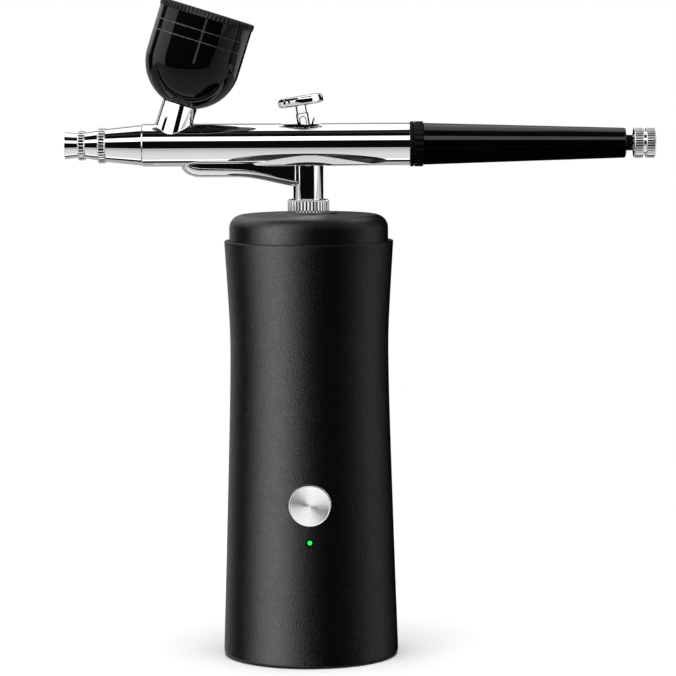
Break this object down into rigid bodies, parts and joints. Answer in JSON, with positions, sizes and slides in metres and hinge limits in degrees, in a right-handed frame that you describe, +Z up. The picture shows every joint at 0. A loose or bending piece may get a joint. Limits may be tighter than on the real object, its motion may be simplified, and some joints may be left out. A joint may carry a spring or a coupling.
{
  "type": "airbrush compressor",
  "caption": "Cordless handheld airbrush compressor: waisted black case with a diaphragm pump inside and a gravity-feed double-action airbrush on top.",
  "frame": {"origin": "centre of the flat rest face under the case, on the case's axis", "axes": "+Z up along the case's axis; -X is where the nozzle points; -Y is the side with the power button"},
  "size_m": [0.1665, 0.0498, 0.1872],
  "materials": {
    "case_black": "satin black with a fine powder grain",
    "black_plastic": "moulded",
    "frame_plastic": "moulded",
    "pad_rubber": "soft matte",
    "screw_steel": "zinc plated",
    "board_green": "solder mask",
    "light_green": "clear green lens",
    "cell_wrap": "shrink wrap",
    "wire_cover": "silicone",
    "white_plastic": "moulded",
    "bronze": "sintered",
    "magnet_dark": "ferrite",
    "copper_core": "wound copper on laminations",
    "shaft_steel": "ground",
    "valve_rubber": "soft",
    "hose_silicone": "clear silicone",
    "fitting_steel": "plated",
    "brass_parts": "turned",
    "airbrush_chrome": "mirror chrome plate",
    "button_metal": "spun concentric rings",
    "seal_white": "PTFE",
    "cup_black": "gloss black",
    "handle_black": "gloss black anodised"
  },
  "bodies": {
    "case": {"shell": "case_black", "top_cap": "case_black", "base_cover": "black_plastic", "foot_pad": "pad_rubber", "small_screws": "screw_steel", "inner_frame": "frame_plastic", "control_board": "board_green", "board_screws": "screw_steel", "tact_switch": "black_plastic", "led_lens": "light_green", "charge_port": "screw_steel", "charge_board": "board_green", "battery_cells": "cell_wrap", "battery_tabs": "screw_steel", "wiring": "wire_cover", "motor_can": "screw_steel", "motor_endcap": "white_plastic", "motor_bearings": "bronze", "motor_magnets": "magnet_dark", "pump_housing": "white_plastic", "diaphragm": "pad_rubber", "valve_plate": "white_plastic", "umbrella_valves": "valve_rubber", "pump_cover": "white_plastic", "pump_screws": "screw_steel", "outlet_hose": "hose_silicone", "outlet_fitting": "fitting_steel", "fitting_nut": "brass_parts"},
    "button": {"power_button": "button_metal", "switch_plunger": "white_plastic"},
    "rotor": {"armature": "copper_core", "motor_shaft": "shaft_steel", "eccentric_wheel": "white_plastic", "wobble_pin": "shaft_steel"},
    "wobbler": {"wobble_plate": "white_plastic"},
    "nut": {"coupling_nut": "airbrush_chrome"},
    "airbrush": {"airbrush_body": "airbrush_chrome", "head_cone": "airbrush_chrome", "nozzle": "brass_parts", "nozzle_cap": "airbrush_chrome", "needle_packing": "seal_white", "paint_cup": "cup_black", "valve_case": "airbrush_chrome", "valve_screw": "brass_parts", "valve_spring": "shaft_steel", "coupling_oring": "pad_rubber", "needle_spring": "shaft_steel", "spring_case": "shaft_steel", "lock_ring": "handle_black", "handle": "handle_black"},
    "front_cap": {"needle_cap": "airbrush_chrome"},
    "lid": {"cup_lid": "cup_black"},
    "plunger": {"valve_plunger": "brass_parts"},
    "trigger": {"trigger": "airbrush_chrome"},
    "needle_carriage": {"needle": "shaft_steel", "needle_guide": "shaft_steel", "chuck_nut": "brass_parts"},
    "lever": {"aux_lever": "shaft_steel"},
    "limiter": {"limiter_rod": "shaft_steel"},
    "limiter_knob": {"limiter_knob": "airbrush_chrome"}
  },
  "joints": [
    {"name": "button_press", "type": "slide", "parent": "case", "child": "button", "axis": [0, 1, 0], "range_m": [0, 0.0005], "stiffness_N_per_m": 2000},
    {"name": "rotor_spin", "type": "hinge", "parent": "case", "child": "rotor", "pos_m": [0, 0, 0.09], "axis": [0, 0, 1], "continuous": true},
    {"name": "plate_wobble", "type": "hinge", "parent": "rotor", "child": "wobbler", "pos_m": [0, 0, 0.1075], "axis": [0.1392, 0, 0.9903], "continuous": true, "deforming": ["diaphragm"]},
    {"name": "nut_spin", "type": "hinge", "parent": "case", "child": "nut", "pos_m": [0, 0, 0.1282], "axis": [0, 0, 1], "continuous": true},
    {"name": "airbrush_swivel", "type": "hinge", "parent": "case", "child": "airbrush", "pos_m": [0, 0, 0.13], "axis": [0, 0, 1], "continuous": true},
    {"name": "needle_cap_off", "type": "slide", "parent": "airbrush", "child": "front_cap", "axis": [-1, 0, 0], "range_m": [0, 0.015]},
    {"name": "lid_off", "type": "slide", "parent": "airbrush", "child": "lid", "axis": [0.3007, 0, 0.9537], "range_m": [0, 0.025]},
    {"name": "trigger_press", "type": "slide", "parent": "airbrush", "child": "plunger", "axis": [0, 0, -1], "range_m": [0, 0.0018], "deforming": ["valve_spring"]},
    {"name": "trigger_pull", "type": "hinge", "parent": "plunger", "child": "trigger", "pos_m": [0.0003, 0, 0.141], "axis": [0, 1, 0], "range_deg": [0, 18.1]},
    {"name": "needle_travel", "type": "slide", "parent": "airbrush", "child": "needle_carriage", "axis": [1, 0, 0], "range_m": [0, 0.0018], "deforming": ["needle_spring"]},
    {"name": "lever_rock", "type": "hinge", "parent": "needle_carriage", "child": "lever", "pos_m": [0.00208, 0, 0.1455], "axis": [0, 1, 0], "range_deg": [0, 18.5]},
    {"name": "limiter_travel", "type": "slide", "parent": "airbrush", "child": "limiter", "axis": [1, 0, 0], "range_m": [-0.00175, 0.003]},
    {"name": "limiter_turn", "type": "hinge", "parent": "limiter", "child": "limiter_knob", "pos_m": [0.09, 0, 0.1455], "axis": [1, 0, 0], "range_deg": [-1262, 2162]}
  ],
  "couplings": [
    {"joint": "plate_wobble", "follows": "rotor_spin", "ratio": -1},
    {"joint": "trigger_pull", "follows": "needle_travel", "rad_per_m": 174.53},
    {"joint": "lever_rock", "follows": "needle_travel", "rad_per_m": 174.53},
    {"joint": "limiter_turn", "follows": "limiter_travel", "rad_per_m": 12566}
  ]
}
